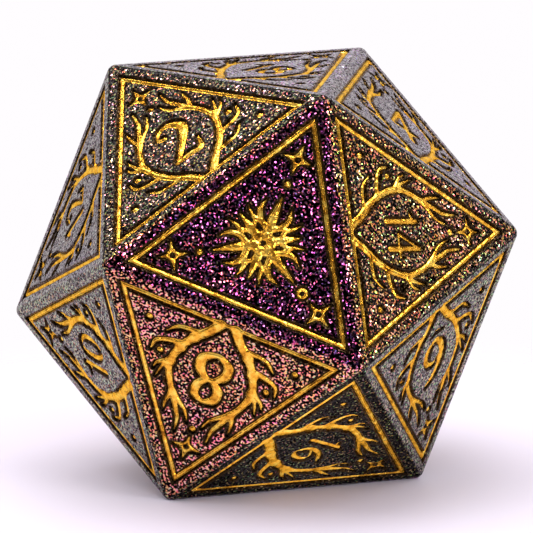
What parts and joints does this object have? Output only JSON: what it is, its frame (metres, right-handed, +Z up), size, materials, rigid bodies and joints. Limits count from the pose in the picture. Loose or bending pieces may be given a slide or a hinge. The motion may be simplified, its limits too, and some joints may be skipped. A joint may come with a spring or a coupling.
{
  "type": "twenty-sided gaming die",
  "caption": "Solid icosahedral gaming die with rounded edges; each face is engraved with a triangular border, bare twigs and a numeral, all filled with gold enamel.",
  "frame": {"origin": "centre of the resting face (the 3), on the plane that the die stands on", "axes": "+Z up, out of the top face (the 18); -Y towards the corner where the 14, 20, 2, 18 and 4 meet; +X to that viewer's right"},
  "size_m": [0.0234, 0.027, 0.022],
  "materials": {
    "shifting_coat": "fine-grained metallic colour-shift coat over cast zinc alloy, from purple through magenta and bronze to olive green, semi-gloss",
    "gold_enamel": "metallic gold enamel, wiped back flush, slightly uneven and darker towards the groove's edges"
  },
  "bodies": {
    "root": {"border_20": "gold_enamel", "die_body": "shifting_coat", "numeral_1": "gold_enamel", "numeral_10_digit_1": "gold_enamel", "numeral_10_digit_2": "gold_enamel", "numeral_11_digit_1": "gold_enamel", "numeral_11_digit_2": "gold_enamel", "numeral_12_digit_1": "gold_enamel", "numeral_12_digit_2": "gold_enamel", "numeral_13_digit_1": "gold_enamel", "numeral_13_digit_2": "gold_enamel", "numeral_14_digit_1": "gold_enamel", "numeral_14_digit_2": "gold_enamel", "numeral_15_digit_1": "gold_enamel", "numeral_15_digit_2": "gold_enamel", "numeral_16_digit_1": "gold_enamel", "numeral_16_digit_2": "gold_enamel", "numeral_17_digit_1": "gold_enamel", "numeral_17_digit_2": "gold_enamel", "numeral_18_digit_1": "gold_enamel", "numeral_18_digit_2": "gold_enamel", "numeral_19_digit_1": "gold_enamel", "numeral_19_digit_2": "gold_enamel", "numeral_2": "gold_enamel", "numeral_3": "gold_enamel", "numeral_4": "gold_enamel", "numeral_5": "gold_enamel", "numeral_6": "gold_enamel", "numeral_6_underline": "gold_enamel", "numeral_7": "gold_enamel", "numeral_8": "gold_enamel", "numeral_9": "gold_enamel", "numeral_9_underline": "gold_enamel", "rosette_20": "gold_enamel", "star_20_1": "gold_enamel", "star_20_2": "gold_enamel", "star_20_3": "gold_enamel", "wreath_1": "gold_enamel", "wreath_10": "gold_enamel", "wreath_11": "gold_enamel", "wreath_12": "gold_enamel", "wreath_13": "gold_enamel", "wreath_14": "gold_enamel", "wreath_15": "gold_enamel", "wreath_16": "gold_enamel", "wreath_17": "gold_enamel", "wreath_18": "gold_enamel", "wreath_19": "gold_enamel", "wreath_2": "gold_enamel", "wreath_3": "gold_enamel", "wreath_4": "gold_enamel", "wreath_5": "gold_enamel", "wreath_6": "gold_enamel", "wreath_7": "gold_enamel", "wreath_8": "gold_enamel", "wreath_9": "gold_enamel"}
  },
  "joints": []
}
